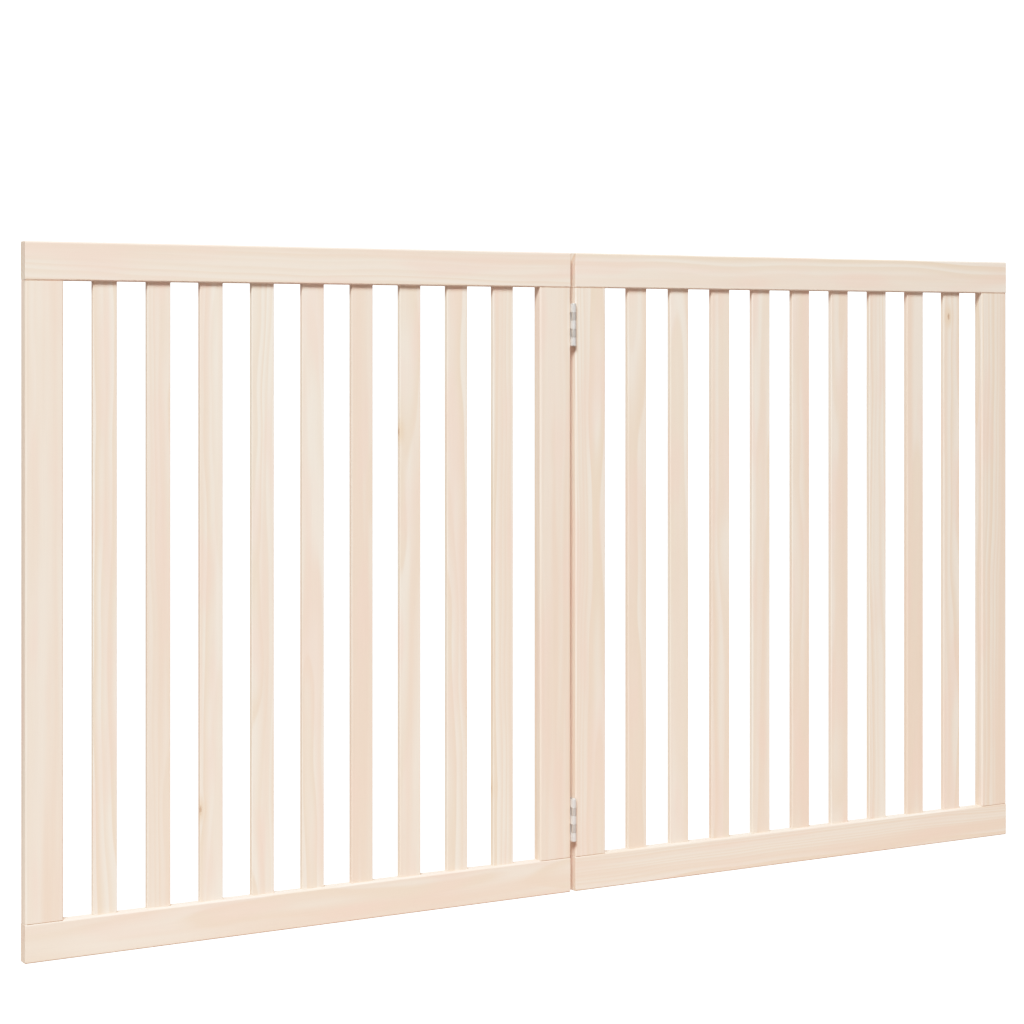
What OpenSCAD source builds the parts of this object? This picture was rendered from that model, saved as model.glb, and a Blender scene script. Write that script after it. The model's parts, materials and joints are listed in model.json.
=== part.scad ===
// Folding pet gate: two slatted pine panels, joined by two butt hinges.
// Millimetres. +X runs along the gate, +Y points to its back and +Z up. The origin is on the
// floor, under the middle of the gate, and the seam between the two panels is at x = 0.

/* [Gate] */
// Height of the gate
gate_h = 700; // [600:10:900]
// Width of one panel
panel_w = 619; // [560:1:800]
// Gap between the two panels at the hinged seam
seam_gap = 6.2; // [6:0.1:6.6]
// Gap between the two panels when one is folded on to the other
fold_gap = 2.6; // [2.2:0.1:2.8]

/* [Frame bars] */
// Thickness of the rails and stiles, front to back
frame_t = 14; // [13:0.5:18]
// Height of the top and bottom rails
rail_h = 38.5; // [34:0.5:41]
// Width of the stiles
stile_w = 39; // [34:0.5:46]
// Radius of the eased long edges of the rails and stiles
frame_edge_r = 2; // [0.5:0.5:3]

/* [Slats] */
// Number of slats in one panel
slat_count = 9; // [5:1:9]
// Width of a slat
slat_w = 25; // [20:0.5:30]
// Thickness of a slat, front to back
slat_t = 6.5; // [5:0.5:8]
// Radius of the eased long edges of a slat
slat_edge_r = 1; // [0.5:0.5:2]
// How far a slat reaches into the rails
tenon_l = 10; // [6:1:16]

/* [Dowels] */
// Diameter of the dowels between the rails and the stiles
dowel_d = 6; // [5:0.5:6]
// Length of a dowel, half of it in each bar
dowel_l = 36; // [30:2:40]
// Distance between the two dowels of a joint
dowel_spread = 18; // [14:1:20]

/* [Hinges] */
// Height of a hinge leaf
leaf_h = 46; // [40:1:60]
// Width of the part of a leaf that lies on the edge of the stile
leaf_w = 11; // [10:0.5:11]
// Thickness of the sheet metal
leaf_t = 1.2; // [1.2:0.1:1.4]
// Outer radius of the barrel
barrel_r = 2.8; // [2.6:0.1:2.8]
// Radius of the hinge pin
pin_r = 1.4; // [1:0.1:1.4]
// Distance of a hinge from the top or the bottom of the gate
hinge_inset = 56; // [54:1:120]

/* [Screws] */
// Shank diameter of a hinge screw
screw_d = 3; // [2.5:0.1:3.2]
// Length of a hinge screw
screw_l = 16; // [12:1:20]

/* [Hidden] */
$fn = 64;
cut = 1;                     // how far a cutting shape runs past the face that it cuts
wood_clearance = 0.05;       // radial clearance of a dowel or screw in its bore
end_clearance = 0.5;         // room past the end of a dowel or screw in its bore
socket_clearance = 0.1;      // room around the end of a slat in its socket
pin_clearance = 0.05;        // radial clearance of the pin in the barrel
knuckle_count = 5;           // the left leaf has the odd ones, the right leaf the even ones
knuckle_gap = 0.2;           // play between two knuckles along the pin
knuckle_h = leaf_h / knuckle_count;
barrel_clearance = 0.3;      // room around the turning barrel
barrel_y = -fold_gap / 2;    // the pin's axis, just in front of the front faces
front_y = (barrel_r - barrel_y - frame_t) / 2;   // the front faces, with the barrel counted in the depth
pin_head_r = pin_r + 0.65;   // the peened ends that keep the pin in
pin_head_h = 0.5;
slat_gap = (panel_w - 2 * stile_w - slat_count * slat_w) / (slat_count + 1);
stile_l = gate_h - 2 * rail_h;
screw_head_r = screw_d / 2 + leaf_t;   // a 90 degree countersunk head, as deep as the leaf
screw_tip_l = 3;
notch_w = barrel_r + barrel_clearance;   // depth of a notch from the pin's axis
screw_y = 0.6 * leaf_w;      // places of the screws on a leaf
screw_row_z = [0.16, 0.5, 0.84] * leaf_h;
recess_w = 0.7;              // cross recess in the screw head
recess_l = 3;
recess_depth = 0.8;
dowel_chamfer = 1;
wood = [0.93, 0.85, 0.74];
dowel_wood = [0.85, 0.72, 0.54];
steel = [0.72, 0.73, 0.75];

sides = ["left", "right"];
ends = ["upper", "lower"];

// Near edge of slat i, measured from the seam: slat 1 is next to the hinges
function slat_x(i) = stile_w + i * slat_gap + (i - 1) * slat_w;

// Height of the lower end of a hinge
function hinge_z(end) = end == "upper" ? gate_h - hinge_inset - leaf_h : hinge_inset;

// Knuckles of a side's leaf, counted from the bottom
function knuckles(side) = [for (k = [0:knuckle_count - 1]) if ((k % 2 == 0) == (side == "left")) k];

// A panel is drawn with X from its seam edge outwards, Y from its front face back and Z up
module on_side(side) {
    mirror([side == "left" ? 1 : 0, 0, 0]) translate([seam_gap / 2, front_y, 0]) children();
}

// A rectangle whose corners are true arcs
module eased_rectangle(size, r) {
    translate([r, 0]) square([size.x - 2 * r, size.y]);
    translate([0, r]) square([size.x, size.y - 2 * r]);
    for (x = [r, size.x - r], y = [r, size.y - r]) translate([x, y]) circle(r);
}

// A chamfered dowel, or its bore when grow is over 0, centred on the joint between two bars
module dowel(d, length, grow = 0) {
    r = d / 2 + grow;
    half = length / 2 + (grow > 0 ? end_clearance : 0);
    c = grow > 0 ? 0 : dowel_chamfer;
    rotate_extrude()
        polygon([[0, -half], [r - c, -half], [r, c - half], [r, half - c], [r - c, half], [0, half]]);
}

// The dowels at both ends of the stile whose near edge is at x
module stile_dowels(x, grow = 0) {
    for (shift = [-0.5, 0.5] * dowel_spread, z = [rail_h, gate_h - rail_h])
        translate([x + stile_w / 2 + shift, frame_t / 2, z]) dowel(dowel_d, dowel_l, grow);
}

module panel_dowels(grow = 0) {
    stile_dowels(0, grow);
    stile_dowels(panel_w - stile_w, grow);
}

// The sockets in both rails that the ends of the slats stand in
module slat_sockets() {
    c = socket_clearance;
    for (i = [1:slat_count])
        translate([slat_x(i) - c, (frame_t - slat_t) / 2 - c, rail_h - tenon_l - c])
            cube([slat_w + 2 * c, slat_t + 2 * c, stile_l + 2 * tenon_l + 2 * c]);
}

// A full-width rail whose lower face is at height z
module rail(side, z) {
    color(wood) on_side(side) difference() {
        translate([0, 0, z]) rotate([90, 0, 90])
            linear_extrude(panel_w) eased_rectangle([frame_t, rail_h], frame_edge_r);
        panel_dowels(wood_clearance);
        slat_sockets();
    }
}

module stile_blank(x) {
    difference() {
        translate([x, 0, rail_h]) linear_extrude(stile_l) eased_rectangle([stile_w, frame_t], frame_edge_r);
        stile_dowels(x, wood_clearance);
    }
}

module outer_stile(side) {
    color(wood) on_side(side) stile_blank(panel_w - stile_w);
}

// The stile that carries the hinges, with bores for their screws
module inner_stile(side) {
    color(wood) on_side(side) difference() {
        stile_blank(0);
        for (end = ends) translate([0, 0, hinge_z(end)]) hinge_screws(wood_clearance);
    }
}

// A slat, whose two ends stand in the rails
module slat(side, i) {
    color(wood) on_side(side) translate([slat_x(i), (frame_t - slat_t) / 2, rail_h - tenon_l])
        linear_extrude(stile_l + 2 * tenon_l) eased_rectangle([slat_w, slat_t], slat_edge_r);
}

// A countersunk screw along +X with its head at x = 0, or its bore when grow is over 0
module screw(grow = 0) {
    head_r = screw_head_r + grow;
    shank_r = screw_d / 2 + grow;
    tip_l = grow > 0 ? 0 : screw_tip_l;
    length = screw_l + (grow > 0 ? end_clearance : 0);
    difference() {
        rotate([0, 90, 0]) rotate_extrude()
            polygon([[0, 0], [head_r, 0], [shank_r, leaf_t], [shank_r, length - tip_l], [0, length]]);
        if (grow == 0) for (size = [[recess_w, recess_l], [recess_l, recess_w]])
            translate([-cut, -size.x / 2, -size.y / 2]) cube([cut + recess_depth, size.x, size.y]);
    }
}

// The three screws of one leaf, with z = 0 at the leaf's lower end
module hinge_screws(grow = 0) {
    for (z = screw_row_z) translate([-leaf_t, screw_y, z]) screw(grow);
}

// Knuckle k of a barrel, counted from the bottom
module knuckle(k) {
    translate([-seam_gap / 2, barrel_y, k * knuckle_h + knuckle_gap / 2])
        cylinder(r = barrel_r, h = knuckle_h - knuckle_gap);
}

// A leaf: a plate on the edge of the stile, notched for the other leaf's knuckles, with its own
// knuckles rolled around the pin
module hinge_leaf(end, side) {
    other_side = side == "left" ? "right" : "left";
    color(steel) on_side(side) translate([0, 0, hinge_z(end)]) difference() {
        union() {
            translate([-leaf_t, barrel_y, 0]) cube([leaf_t, leaf_w - barrel_y, leaf_h]);
            for (k = knuckles(side)) knuckle(k);
        }
        for (k = knuckles(other_side))
            translate([-leaf_t - cut, barrel_y - cut, k * knuckle_h - knuckle_gap / 2])
                cube([leaf_t + 2 * cut, notch_w + cut, knuckle_h + knuckle_gap]);
        translate([-seam_gap / 2, barrel_y, -cut]) cylinder(r = pin_r + pin_clearance, h = leaf_h + 2 * cut);
        hinge_screws(wood_clearance);
    }
}

module leaf_screws(end, side) {
    color(steel) on_side(side) translate([0, 0, hinge_z(end)]) hinge_screws();
}

// The pin, with a peened head at both ends of the barrel
module hinge_pin(end) {
    color(steel) translate([0, front_y + barrel_y, hinge_z(end)]) {
        cylinder(r = pin_r, h = leaf_h);
        for (z = [-pin_head_h, leaf_h]) translate([0, 0, z]) cylinder(r = pin_head_r, h = pin_head_h);
    }
}

for (side = sides) {
    rail(side, gate_h - rail_h);
    rail(side, 0);
    outer_stile(side);
    inner_stile(side);
    for (i = [1:slat_count])
        slat(side, i);
    color(dowel_wood) on_side(side) panel_dowels();
    for (end = ends) {
        hinge_leaf(end, side);
        leaf_screws(end, side);
    }
}
for (end = ends)
    hinge_pin(end);
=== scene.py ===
"""The looks of the folding pet gate: pale planed pine bars, zinc plated butt hinges, a white studio."""

import json
import math
import random

import bmesh
import bpy
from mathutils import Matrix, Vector

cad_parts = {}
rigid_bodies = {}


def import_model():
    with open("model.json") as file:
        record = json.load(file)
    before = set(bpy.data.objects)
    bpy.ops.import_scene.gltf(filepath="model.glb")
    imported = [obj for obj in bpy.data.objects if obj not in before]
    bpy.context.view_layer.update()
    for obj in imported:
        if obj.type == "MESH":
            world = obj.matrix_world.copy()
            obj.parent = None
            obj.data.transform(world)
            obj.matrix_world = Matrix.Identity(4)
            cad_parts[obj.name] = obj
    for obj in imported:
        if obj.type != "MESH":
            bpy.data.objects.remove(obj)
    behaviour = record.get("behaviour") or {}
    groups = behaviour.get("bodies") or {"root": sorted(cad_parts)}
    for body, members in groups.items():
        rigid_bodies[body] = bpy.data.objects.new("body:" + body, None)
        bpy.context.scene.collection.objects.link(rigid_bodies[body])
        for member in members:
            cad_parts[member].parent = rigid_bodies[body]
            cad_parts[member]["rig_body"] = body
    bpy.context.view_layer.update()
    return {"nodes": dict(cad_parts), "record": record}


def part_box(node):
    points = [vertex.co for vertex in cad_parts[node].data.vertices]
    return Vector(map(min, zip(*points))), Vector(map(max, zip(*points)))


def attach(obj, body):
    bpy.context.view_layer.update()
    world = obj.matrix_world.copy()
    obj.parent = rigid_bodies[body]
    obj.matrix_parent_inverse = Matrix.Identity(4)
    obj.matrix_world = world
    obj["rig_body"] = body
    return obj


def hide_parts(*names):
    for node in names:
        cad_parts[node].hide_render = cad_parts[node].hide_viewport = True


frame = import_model()

MM = 0.001
X, Y, Z = 0, 1, 2

# Timber: easing of the edges, as in the CAD model, and of the rails' ends
FRAME_EDGE_R = 2.0 * MM
SLAT_EDGE_R = 1.0 * MM
RAIL_END_R = 0.8 * MM
EDGE_SEGMENTS = 6
RAIL_END_SEGMENTS = 3
END_FACE_COSINE = 0.7         # a face this much in line with the bar shows end grain
SHARP_ANGLE = math.radians(40)

# Small knots: node -> place along, across and through the bar, as shares of its sizes
KNOTS = {
    "left_slat_3": (0.745, 0.0, 0.4),
    "left_slat_7": (0.16, 0.0, 0.04),
    "left_slat_1": (0.145, 0.0, 0.85),
    "right_slat_9": (0.94, 0.3, 0.0),
}
NO_KNOT = (10.0, 10.0, 10.0)  # so far away that no knot shows
KNOT_R = 2.2 * MM
KNOT_STRETCH = 0.45           # below 1, so that a knot is longer along the grain

# Bars of a warmer and of a paler board than the others
WARM_BARS = ("left_top_rail", "left_outer_stile", "left_inner_stile", "left_slat_4", "left_slat_8")
PALE_BARS = ("left_slat_1", "left_slat_2", "left_slat_5", "left_slat_7", "left_slat_9")

# Directions of the pith from a bar, round its length: most bars are sawn flat, with rings along the front
FLAT_SAWN_ANGLES = (math.pi / 2, math.pi / 2, -math.pi / 2, -math.pi / 2, 0.0)
PITH_ANGLE_SPREAD = 0.6
PITH_DISTANCE_MM = (25, 70)
FIBRE_SLOPE = 0.012           # largest slope of the fibre against the bar
LOG_LENGTH = 20               # metres of log that the bars are cut from
TONE_SPREAD = 0.5
RING_SPACING_MM = (3.2, 6.5)

# Metal: softened edges
LEAF_EDGE_R = 0.15 * MM
SMALL_EDGE_R = 0.08 * MM      # screws and pins
METAL_EDGE_SEGMENTS = 2
METAL_EDGE_ANGLE = math.radians(35)
WELD_DISTANCE = 0.001 * MM
FLAT_ANGLE = math.radians(1)


# ---------------------------------------------------------------- node helpers

def add(tree, kind, inputs=None, **settings):
    """A new node, with its settings and its inputs given as values or as sockets to link."""
    node = tree.nodes.new(kind)
    for name, value in settings.items():
        setattr(node, name, value)
    for key, value in (inputs or {}).items():
        if isinstance(value, bpy.types.NodeSocket):
            tree.links.new(value, node.inputs[key])
        else:
            node.inputs[key].default_value = value
    return node


def calc(tree, operation, a, b=0.0):
    return add(tree, "ShaderNodeMath", {0: a, 1: b}, operation=operation).outputs[0]


def vector_calc(tree, operation, a, b=(0, 0, 0)):
    node = add(tree, "ShaderNodeVectorMath", {0: a, 1: b}, operation=operation)
    return node.outputs["Value" if operation in ("LENGTH", "DOT_PRODUCT") else "Vector"]


def scaled(tree, vector, factors):
    """A vector or colour times a fixed factor for each of its three values."""
    return vector_calc(tree, "MULTIPLY", vector, factors)


def scaled_by(tree, vector, factor):
    """A vector or colour times one factor that varies over the surface."""
    inputs = {0: vector, "Scale": factor}
    return add(tree, "ShaderNodeVectorMath", inputs, operation="SCALE").outputs["Vector"]


def noise(tree, vector, detail=2.0, roughness=0.5, output="Fac"):
    inputs = {"Vector": vector, "Scale": 1.0, "Detail": detail, "Roughness": roughness}
    return add(tree, "ShaderNodeTexNoise", inputs).outputs[output]


def ramp(tree, value, low, high, to_low=0.0, to_high=1.0, smooth=True):
    node = add(
        tree, "ShaderNodeMapRange",
        {"Value": value, "From Min": low, "From Max": high, "To Min": to_low, "To Max": to_high},
        interpolation_type="SMOOTHSTEP" if smooth else "LINEAR",
    )
    return node.outputs[0]


def mix(tree, factor, a, b):
    return add(tree, "ShaderNodeMix", {0: factor, 6: a, 7: b}, data_type="RGBA").outputs[2]


def attribute(tree, name, output):
    return add(tree, "ShaderNodeAttribute", attribute_name=name).outputs[output]


def new_material(name):
    material = bpy.data.materials.new(name)
    material.use_nodes = True
    tree = material.node_tree
    return material, tree, tree.nodes["Principled BSDF"]


def add_bump(tree, shader, height, strength, depth):
    bump = add(tree, "ShaderNodeBump", {"Strength": strength, "Distance": depth, "Height": height})
    tree.links.new(bump.outputs[0], shader.inputs["Normal"])


# ---------------------------------------------------------------- pine

EARLYWOOD = (0.82, 0.685, 0.575, 1)
LATEWOOD = (0.73, 0.505, 0.35, 1)
PINK_STREAK = (0.79, 0.58, 0.46, 1)
PINK_BLUSH = (0.83, 0.565, 0.465, 1)
KNOT_BROWN = (0.36, 0.19, 0.10, 1)

# Noise in the wood: waves for each metre along the fibre, and across it both ways
WANDER_SCALE = (3.2, 16, 16)
FIBRE_SCALE = (14, 900, 900)
FINE_SCALE = (70, 3600, 3600)
STREAK_SCALE = (1.6, 48, 48)
BLUSH_SCALE = (8, 42, 42)
FLECK_SCALE = (45, 1300, 1300)
PORE_SCALE = (900, 5200, 5200)
KNOT_EDGE_SCALE = (700, 900, 900)

RING_WANDER = 0.016           # metres that a ring strays from its circle
RING_DRIFT = 2.2              # rings by which the count drifts along the radius
RING_DRIFT_SCALE = 0.35       # waves of that drift for each ring
KNOT_BEND = -0.75             # push of a knot on the rings, as a share of the distance from it
KNOT_BEND_FALL = -0.12        # how fast the push fades, further from the knot
LATE_SHARE = 0.6              # strength of the dark part of a ring on a bar's faces
LATE_SHARE_END = 0.85         # and on its ends
TONE_PINK = 0.33
TONE_SHADE = 0.005
FLECK_SHADE = 0.04
HEART_SHARE = 0.6             # strength of a knot's brown heart


def late_wood(tree, grain, knot, knot_d):
    """How far each point is in the dark part of its ring: rings round the pith, bent aside by a knot."""
    spacing = attribute(tree, "ring_spacing", "Fac")
    knot_near = calc(tree, "MULTIPLY", calc(tree, "MULTIPLY", knot_d, knot_d), KNOT_BEND_FALL)
    bend = scaled_by(tree, scaled(tree, knot, (0, KNOT_BEND, 0)), calc(tree, "EXPONENT", knot_near))
    wander = noise(tree, scaled(tree, grain, WANDER_SCALE), output="Color")
    wander = vector_calc(tree, "SUBTRACT", wander, (0.5, 0.5, 0.5))
    wander = scaled(tree, wander, (0, RING_WANDER, RING_WANDER))
    place = vector_calc(tree, "ADD", vector_calc(tree, "ADD", grain, wander), bend)
    rings = calc(tree, "DIVIDE", vector_calc(tree, "LENGTH", scaled(tree, place, (0, 1, 1))), spacing)
    drift = add(tree, "ShaderNodeCombineXYZ", {0: calc(tree, "MULTIPLY", rings, RING_DRIFT_SCALE)}).outputs[0]
    rings = calc(tree, "ADD", rings, calc(tree, "MULTIPLY", noise(tree, drift), RING_DRIFT))
    within = calc(tree, "FRACT", rings)
    year = add(tree, "ShaderNodeTexWhiteNoise", {"W": calc(tree, "FLOOR", rings)}, noise_dimensions="1D")
    late = calc(tree, "MULTIPLY", ramp(tree, within, 0.10, 0.80), ramp(tree, within, 0.84, 1.0, 1.0, 0.0))
    weight = ramp(tree, year.outputs["Value"], 0.0, 1.0, 0.25, 1.0, smooth=False)
    return calc(tree, "MULTIPLY", late, weight)


def with_knot(tree, colour, grain, knot_d):
    """Adds a knot: a brown heart with a ragged edge, and a warm halo."""
    ragged = ramp(tree, noise(tree, scaled(tree, grain, KNOT_EDGE_SCALE)), 0.2, 0.8, -0.35, 0.35)
    ragged = calc(tree, "ADD", knot_d, ragged)
    heart = ramp(tree, ragged, 0.3, 1.1, 1.0, 0.0)
    halo = ramp(tree, ragged, 0.8, 4.0, 0.6, 0.0)
    colour = mix(tree, halo, colour, LATEWOOD)
    return mix(tree, calc(tree, "MULTIPLY", heart, HEART_SHARE), colour, KNOT_BROWN)


def pine(name, end_grain=False):
    """Planed pine, cut from a solid log: growth rings round a pith, fibres, pink streaks and small knots.

    Attribute grain holds each point's place in the log in metres, along the fibre and then from the
    pith, and attribute knot its place from the bar's knot. Tone is over 0 in a warm board.
    """
    material, tree, shader = new_material(name)
    grain = attribute(tree, "grain", "Vector")
    knot = attribute(tree, "knot", "Vector")
    tone = attribute(tree, "tone", "Fac")
    knot_d = calc(tree, "DIVIDE", vector_calc(tree, "LENGTH", knot), KNOT_R)
    late = late_wood(tree, grain, knot, knot_d)

    # Long thin fibres, with short dark flecks among them, and wide pink streaks and blushes
    fibre = noise(tree, scaled(tree, grain, FIBRE_SCALE), 3, 0.62)
    fine = noise(tree, scaled(tree, grain, FINE_SCALE), 2, 0.6)
    streak = noise(tree, scaled(tree, grain, STREAK_SCALE))
    blush = ramp(tree, noise(tree, scaled(tree, grain, BLUSH_SCALE), 1), 0.46, 0.72, 0.0, 0.5)
    fleck = ramp(tree, noise(tree, scaled(tree, grain, FLECK_SCALE), 1, 0.4), 0.68, 0.78)
    pores = noise(tree, scaled(tree, grain, PORE_SCALE), 2, 0.7)

    late_share = LATE_SHARE_END if end_grain else LATE_SHARE
    colour = mix(tree, calc(tree, "MULTIPLY", late, late_share), EARLYWOOD, LATEWOOD)
    pink = ramp(tree, streak, 0.42, 0.70, 0.05, 0.85)
    pink = calc(tree, "ADD", pink, calc(tree, "MULTIPLY", tone, TONE_PINK))
    colour = mix(tree, pink, colour, PINK_STREAK)
    colour = mix(tree, blush, colour, PINK_BLUSH)
    light = ramp(tree, fibre, 0.25, 0.75, 0.98, 1.015, smooth=False)
    light = calc(tree, "SUBTRACT", light, calc(tree, "MULTIPLY", tone, TONE_SHADE))
    light = calc(tree, "SUBTRACT", light, calc(tree, "MULTIPLY", fleck, FLECK_SHADE))
    if end_grain:
        light = calc(tree, "MULTIPLY", light, ramp(tree, pores, 0.3, 0.7, 0.9, 1.03))
    colour = with_knot(tree, scaled_by(tree, colour, light), grain, knot_d)
    tree.links.new(colour, shader.inputs["Base Color"])

    rough = ramp(tree, fibre, 0.3, 0.7, 0.50, 0.62)
    rough = calc(tree, "SUBTRACT", rough, calc(tree, "MULTIPLY", late, 0.07))
    tree.links.new(rough, shader.inputs["Roughness"])
    shader.inputs["Specular IOR Level"].default_value = 0.35

    height = calc(tree, "ADD", calc(tree, "MULTIPLY", fibre, 0.6), calc(tree, "MULTIPLY", fine, 0.25))
    height = calc(tree, "ADD", height, calc(tree, "MULTIPLY", late, 0.25))
    height = calc(tree, "SUBTRACT", height, calc(tree, "MULTIPLY", fleck, 0.3))
    if end_grain:
        height = calc(tree, "ADD", height, pores)
    add_bump(tree, shader, height, 0.35, 0.06 * MM)
    return material


# ---------------------------------------------------------------- beech and zinc

BEECH_PALE = (0.72, 0.52, 0.32, 1)
BEECH_DARK = (0.60, 0.40, 0.22, 1)
BEECH_RAY = (0.38, 0.20, 0.09, 1)
BEECH_FIBRE_SCALE = (1500, 1500, 60)
BEECH_RAY_SCALE = (2600, 2600, 260)


def beech(name):
    """Turned beech for the dowels, with short dark rays along the fibre."""
    material, tree, shader = new_material(name)
    place = add(tree, "ShaderNodeTexCoord").outputs["Object"]
    fibre = noise(tree, scaled(tree, place, BEECH_FIBRE_SCALE), 3, 0.6)
    ray = ramp(tree, noise(tree, scaled(tree, place, BEECH_RAY_SCALE), 1), 0.62, 0.74)
    colour = mix(tree, fibre, BEECH_DARK, BEECH_PALE)
    colour = mix(tree, calc(tree, "MULTIPLY", ray, 0.5), colour, BEECH_RAY)
    tree.links.new(colour, shader.inputs["Base Color"])
    shader.inputs["Roughness"].default_value = 0.6
    return material


MOTTLE_SCALE = (420, 420, 420)
ROLLING_SCALE = (9000, 9000, 260)
SCRATCH_SCALE = (700, 5200, 5200)


def zinc(name, shade):
    """Zinc plated steel: a satin metal with a faint mottle, rolling lines and fine scratches."""
    material, tree, shader = new_material(name)
    place = add(tree, "ShaderNodeTexCoord").outputs["Object"]
    mottle = noise(tree, scaled(tree, place, MOTTLE_SCALE), 3, 0.6)
    lines = noise(tree, scaled(tree, place, ROLLING_SCALE), 2, 0.6)
    scratch = ramp(tree, noise(tree, scaled(tree, place, SCRATCH_SCALE), 1), 0.66, 0.72)
    dark = tuple(0.88 * c for c in shade) + (1,)
    pale = tuple(min(1.0, 1.05 * c) for c in shade) + (1,)
    tree.links.new(mix(tree, mottle, dark, pale), shader.inputs["Base Color"])
    shader.inputs["Metallic"].default_value = 0.6
    rough = ramp(tree, mottle, 0.3, 0.7, 0.34, 0.46)
    rough = calc(tree, "ADD", rough, calc(tree, "MULTIPLY", scratch, 0.12))
    tree.links.new(rough, shader.inputs["Roughness"])
    height = calc(tree, "ADD", calc(tree, "MULTIPLY", lines, 0.6), calc(tree, "MULTIPLY", scratch, -0.4))
    add_bump(tree, shader, height, 0.25, 0.02 * MM)
    return material


PINE = pine("pine")
PINE_END = pine("pine_end_grain", end_grain=True)
BEECH = beech("beech")
ZINC_PALE = zinc("zinc_pale", (0.84, 0.81, 0.78))
ZINC_DARK = zinc("zinc_dark", (0.62, 0.58, 0.54))


# ---------------------------------------------------------------- timber

def long_axis(size):
    return max(range(3), key=lambda i: size[i])


def ease(bm, axis, is_long, radius, segments):
    """Rounds the edges that run from one end of the bar to the other, or those round its two ends."""
    edges = [e for e in bm.edges if (e.verts[0].co[axis] * e.verts[1].co[axis] < 0) == is_long]
    bmesh.ops.bevel(bm, geom=edges, offset=radius, segments=segments, profile=0.5, affect="EDGES")


def bar_mesh(name, size, axis, edge_r, end_r):
    """A bar centred on the origin, with eased long edges and, where end_r is given, eased ends."""
    bm = bmesh.new()
    bmesh.ops.create_cube(bm, size=1)
    bmesh.ops.scale(bm, vec=size, verts=bm.verts)
    ease(bm, axis, True, edge_r, EDGE_SEGMENTS)
    if end_r:
        ease(bm, axis, False, end_r, RAIL_END_SEGMENTS)
    mesh = bpy.data.meshes.new(name)
    bm.to_mesh(mesh)
    bm.free()
    return mesh


def store(mesh, name, kind, values):
    """Writes one value for each point; vectors are given flat."""
    layer = mesh.attributes.new(name, kind, "POINT")
    layer.data.foreach_set("vector" if kind == "FLOAT_VECTOR" else "value", values)


def write_grain(obj, node, axis, size):
    """Stores on each point its place in the log, its place from the bar's knot and the bar's tone."""
    rng = random.Random(obj.name)
    pith_angle = rng.choice(FLAT_SAWN_ANGLES) + rng.uniform(-PITH_ANGLE_SPREAD, PITH_ANGLE_SPREAD)
    pith_distance = rng.uniform(*PITH_DISTANCE_MM) * MM
    pith = (pith_distance * math.cos(pith_angle), pith_distance * math.sin(pith_angle))
    runout = (rng.uniform(-FIBRE_SLOPE, FIBRE_SLOPE), rng.uniform(-FIBRE_SLOPE, FIBRE_SLOPE))
    start = rng.uniform(0, LOG_LENGTH)
    tone = rng.uniform(-TONE_SPREAD, TONE_SPREAD) + (node in WARM_BARS) - (node in PALE_BARS)
    spacing = rng.uniform(*RING_SPACING_MM) * MM
    across = Z if axis == X else X
    knot = KNOTS.get(node)
    if knot:
        heart = [(share - 0.5) * size[i] for share, i in zip(knot, (axis, across, Y))]
    grain, from_knot = [], []
    for vertex in obj.data.vertices:
        along, wide, deep = vertex.co[axis], vertex.co[across], vertex.co[Y]
        grain += (along + start, wide + pith[0] + along * runout[0], deep + pith[1] + along * runout[1])
        if knot:
            from_knot += (KNOT_STRETCH * (along - heart[0]), wide - heart[1], deep - heart[2])
        else:
            from_knot += NO_KNOT
    points = len(obj.data.vertices)
    store(obj.data, "grain", "FLOAT_VECTOR", grain)
    store(obj.data, "knot", "FLOAT_VECTOR", from_knot)
    store(obj.data, "tone", "FLOAT", [tone] * points)
    store(obj.data, "ring_spacing", "FLOAT", [spacing] * points)


def weighted_normals(obj):
    """Smooth shading over the rounded edges only: faces that meet at a real corner stay apart."""
    for polygon in obj.data.polygons:
        polygon.use_smooth = True
    obj.data.set_sharp_from_angle(angle=SHARP_ANGLE)
    modifier = obj.modifiers.new("weighted_normals", "WEIGHTED_NORMAL")
    modifier.keep_sharp = True


def make_bar(node):
    """A detailed pine bar in place of a CAD bar."""
    lo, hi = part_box(node)
    size = hi - lo
    axis = long_axis(size)
    is_slat = "_slat_" in node
    edge_r = SLAT_EDGE_R if is_slat else FRAME_EDGE_R
    mesh = bar_mesh(node, size, axis, edge_r, RAIL_END_R if axis == X else 0)
    mesh.materials.append(PINE)
    mesh.materials.append(PINE_END)
    for polygon in mesh.polygons:
        polygon.material_index = 1 if abs(polygon.normal[axis]) > END_FACE_COSINE else 0
    piece = bpy.data.objects.new("pine_" + node, mesh)
    bpy.context.scene.collection.objects.link(piece)
    piece.location = (lo + hi) / 2
    write_grain(piece, node, axis, size)
    weighted_normals(piece)
    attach(piece, "left_panel" if node.startswith("left") else "right_panel")
    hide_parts(node)


# ---------------------------------------------------------------- hinges

def make_metal(node, material, edge_r):
    """A copy of a CAD metal part with softened edges."""
    mesh = frame["nodes"][node].data.copy()
    bm = bmesh.new()
    bm.from_mesh(mesh)
    bmesh.ops.remove_doubles(bm, verts=bm.verts, dist=WELD_DISTANCE)
    bmesh.ops.dissolve_limit(bm, angle_limit=FLAT_ANGLE, verts=bm.verts, edges=bm.edges)
    bm.to_mesh(mesh)
    bm.free()
    mesh.materials.clear()
    mesh.materials.append(material)
    piece = bpy.data.objects.new("steel_" + node, mesh)
    bpy.context.scene.collection.objects.link(piece)
    bevel = piece.modifiers.new("soft_edges", "BEVEL")
    bevel.width = edge_r
    bevel.segments = METAL_EDGE_SEGMENTS
    bevel.limit_method = "ANGLE"
    bevel.angle_limit = METAL_EDGE_ANGLE
    bevel.use_clamp_overlap = True
    weighted_normals(piece)
    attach(piece, frame["nodes"][node]["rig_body"])
    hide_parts(node)


# ---------------------------------------------------------------- camera

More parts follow.
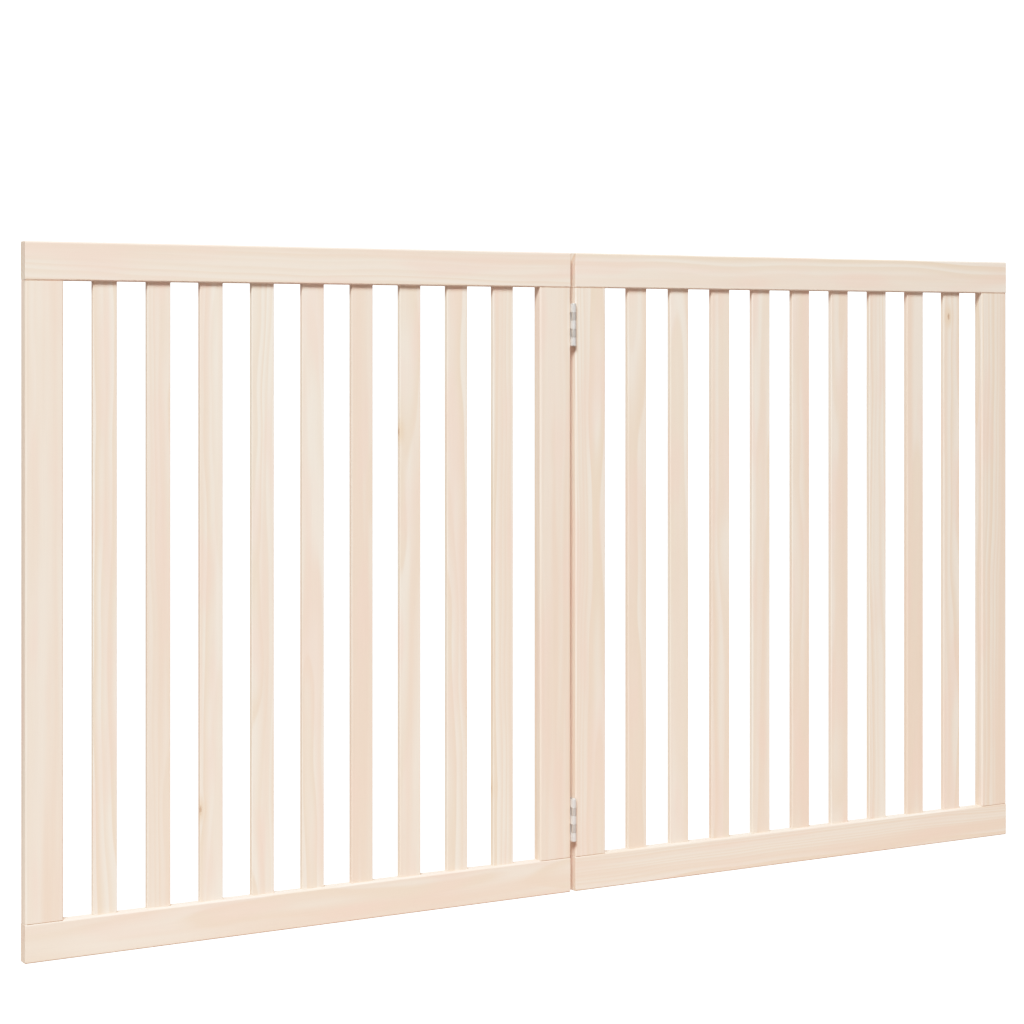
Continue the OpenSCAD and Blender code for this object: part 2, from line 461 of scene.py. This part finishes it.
CAMERA_AZIMUTH = -30.23       # degrees; the camera stands to the left of the gate's front
CAMERA_SETBACK = 2.278        # in front of the front faces
CAMERA_LEFT = 1.4050          # to the left of the seam
CAMERA_HEIGHT = 0.6004
LENS_MM = 85.93
SENSOR_MM = 36
LENS_SHIFT_Y = -0.1645        # the lens is lowered instead of tilted, so that uprights stay parallel


def make_camera():
    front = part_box("left_top_rail")[0].y
    data = bpy.data.cameras.new("camera")
    data.lens = LENS_MM
    data.sensor_width = SENSOR_MM
    data.shift_y = LENS_SHIFT_Y
    camera = bpy.data.objects.new("camera", data)
    bpy.context.scene.collection.objects.link(camera)
    camera.location = (-CAMERA_LEFT, front - CAMERA_SETBACK, CAMERA_HEIGHT)
    camera.rotation_euler = (math.pi / 2, 0, math.radians(CAMERA_AZIMUTH))
    bpy.context.scene.camera = camera


# ---------------------------------------------------------------- studio

# The studio's walls: the direction that each one is in, and its light straight ahead
WALLS = (
    ((0, -1, 0), (0.57, 0.43, 0.37)),
    ((0, 1, 0), (1.38, 1.25, 1.14)),
    ((1, 0, 0), (0.40, 0.32, 0.28)),
    ((0, 0, -1), (0.13, 0.10, 0.09)),
)
WHITE_OUT = (2, 2, 2, 1)      # past the white point: the walls and floor are pure white to the camera
FLOOR_R = 30
FLOOR_SEGMENTS = 96
FLOOR_GREY = (0.12, 0.12, 0.12, 1)
FLOOR_POOL = (0.58, 0.44, 0.38)   # light of the lit patch of floor round the gate
FLOOR_POOL_R = (0.4, 1.6)     # where the patch starts to fade, and where it ends
KEY_AZIMUTH = -39             # degrees from the front, towards the left
KEY_SLOPE = 1.55              # rise of the key light's rays for each metre towards the gate's front
KEY_DISTANCE = 8.0
KEY_SIZE = 3.2
KEY_POWER = 1140
KEY_TINT = (0.87, 0.985, 1.02)
WHITE_POINT = 1.4
COMBINED_CURVE = 3            # the curve after those of red, green and blue
# Exposure curve with a soft shoulder: light as a share of the white point -> brightness
EXPOSURE_CURVE = ((0, 0), (0.36, 0.5), (0.5, 0.67), (0.71, 0.85), (1, 1))


def white_to_camera(tree, light, socket):
    """Gives the socket a light that shines on the gate and is plain white to the camera."""
    camera_ray = add(tree, "ShaderNodeLightPath").outputs["Is Camera Ray"]
    tree.links.new(mix(tree, camera_ray, light, WHITE_OUT), socket)


def make_walls():
    world = bpy.data.worlds.new("studio")
    bpy.context.scene.world = world
    world.use_nodes = True
    tree = world.node_tree
    direction = add(tree, "ShaderNodeTexCoord").outputs["Generated"]
    total = (0, 0, 0)
    for wall, light in WALLS:
        facing = vector_calc(tree, "DOT_PRODUCT", direction, wall)
        total = vector_calc(tree, "ADD", total, scaled(tree, calc(tree, "MAXIMUM", facing), light))
    background = tree.nodes["Background"]
    white_to_camera(tree, total, background.inputs["Color"])
    background.inputs["Strength"].default_value = 1


def make_floor():
    bm = bmesh.new()
    bmesh.ops.create_circle(bm, cap_ends=True, segments=FLOOR_SEGMENTS, radius=FLOOR_R)
    mesh = bpy.data.meshes.new("floor")
    bm.to_mesh(mesh)
    bm.free()
    floor = bpy.data.objects.new("floor", mesh)
    bpy.context.scene.collection.objects.link(floor)
    material, tree, shader = new_material("floor_white")
    shader.inputs["Base Color"].default_value = FLOOR_GREY
    shader.inputs["Roughness"].default_value = 0.9
    shader.inputs["Specular IOR Level"].default_value = 0.0
    shader.inputs["Emission Strength"].default_value = 1
    reach = vector_calc(tree, "LENGTH", add(tree, "ShaderNodeTexCoord").outputs["Object"])
    pool = scaled(tree, ramp(tree, reach, *FLOOR_POOL_R, 1.0, 0.0), FLOOR_POOL)
    white_to_camera(tree, pool, shader.inputs["Emission Color"])
    mesh.materials.append(material)


def make_key_light():
    target = Vector((0, 0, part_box("left_outer_stile")[1].z / 2))
    azimuth = math.radians(KEY_AZIMUTH)
    towards = Vector((math.sin(azimuth), -math.cos(azimuth), KEY_SLOPE * math.cos(azimuth))).normalized()
    data = bpy.data.lights.new("key", "AREA")
    data.shape = "DISK"
    data.size = KEY_SIZE
    data.energy = KEY_POWER
    data.color = KEY_TINT
    light = bpy.data.objects.new("key", data)
    bpy.context.scene.collection.objects.link(light)
    light.location = target + KEY_DISTANCE * towards
    light.rotation_euler = (-towards).to_track_quat("-Z", "Y").to_euler()
    light.visible_camera = False


def set_exposure():
    settings = bpy.context.scene.view_settings
    settings.view_transform = "Standard"
    settings.look = "None"
    settings.use_curve_mapping = True
    mapping = settings.curve_mapping
    mapping.white_level = (WHITE_POINT,) * 3
    curve = mapping.curves[COMBINED_CURVE]
    curve.points[0].location = EXPOSURE_CURVE[0]
    curve.points[1].location = EXPOSURE_CURVE[-1]
    for light, brightness in EXPOSURE_CURVE[1:-1]:
        curve.points.new(light, brightness)
    mapping.update()


# ---------------------------------------------------------------- the gate

make_camera()
make_walls()
make_floor()
make_key_light()
set_exposure()
for part in frame["record"]["subparts"]:
    name, material_slot = part["node"], part["material_slot"]
    if material_slot.startswith("pine"):
        make_bar(name)
    elif material_slot == "beech_dowels":
        frame["nodes"][name].data.materials.clear()
        frame["nodes"][name].data.materials.append(BEECH)
    elif name.endswith("_leaf"):
        make_metal(name, ZINC_PALE if "_left_" in name else ZINC_DARK, LEAF_EDGE_R)
    else:
        make_metal(name, ZINC_PALE, SMALL_EDGE_R)
